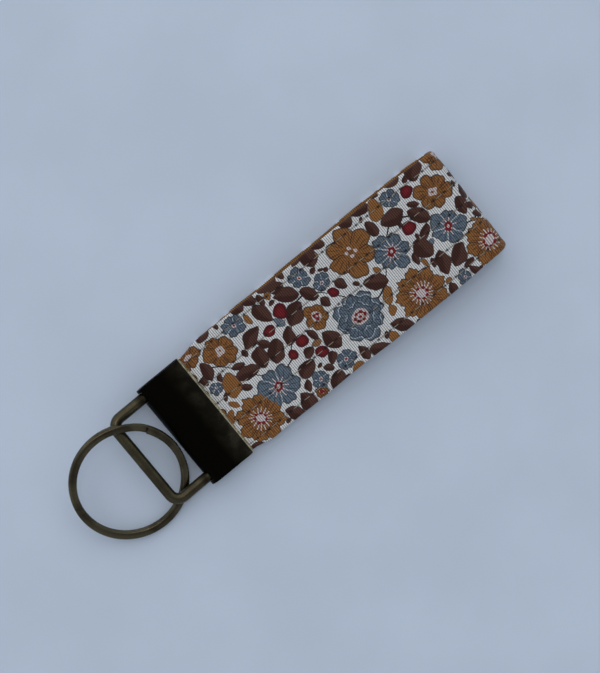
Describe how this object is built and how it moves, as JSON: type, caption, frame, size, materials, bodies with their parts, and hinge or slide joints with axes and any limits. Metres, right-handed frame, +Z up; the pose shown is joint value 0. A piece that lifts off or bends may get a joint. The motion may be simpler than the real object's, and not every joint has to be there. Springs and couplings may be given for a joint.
{
  "type": "fabric key fob with split ring",
  "caption": "Short printed cotton strap loop crimped in a metal clamp, with a wire bail and a split ring for keys.",
  "frame": {"origin": "middle of the clamp's flat underside, on the surface the key fob lies on", "axes": "+X along the strap from the clamp towards the end of the loop, +Y across the strap, +Z up"},
  "size_m": [0.1067, 0.0266, 0.008],
  "materials": {
    "clamp_metal": "antique brass plate, patinated nearly black, rubbed at the mouth",
    "bail_metal": "antique brass plate, olive brown, satin",
    "ring_metal": "antique brass plate with bright rubbed line",
    "print_cotton": "plain weave cotton with a small all-over flower print",
    "interfacing_cloth": "white non-woven stiffening",
    "backing_cotton": "mustard plain weave cotton",
    "needle_thread": "cream sewing thread",
    "bobbin_thread": "mustard sewing thread"
  },
  "bodies": {
    "fob": {"clamp_shell": "clamp_metal", "print_cover": "print_cotton", "interfacing": "interfacing_cloth", "backing_strip": "backing_cotton", "stitch_row_1_needle_thread": "needle_thread", "stitch_row_2_needle_thread": "needle_thread", "stitch_row_3_needle_thread": "needle_thread", "stitch_row_4_needle_thread": "needle_thread", "stitch_row_5_needle_thread": "needle_thread", "stitch_row_1_bobbin_thread": "bobbin_thread", "stitch_row_2_bobbin_thread": "bobbin_thread", "stitch_row_3_bobbin_thread": "bobbin_thread", "stitch_row_4_bobbin_thread": "bobbin_thread", "stitch_row_5_bobbin_thread": "bobbin_thread"},
    "bail": {"bail": "bail_metal"},
    "split_ring": {"split_ring": "ring_metal"}
  },
  "joints": [
    {"name": "bail_swing", "type": "hinge", "parent": "fob", "child": "bail", "pos_m": [-0.003, 0, 0.0027], "axis": [0, 1, 0], "range_deg": [-24.3, 7.7]},
    {"name": "ring_swing", "type": "hinge", "parent": "bail", "child": "split_ring", "pos_m": [-0.01234, 0.01063, 0.00406], "axis": [0.4087, 0.9082, -0.0908], "range_deg": [0, 140]}
  ]
}
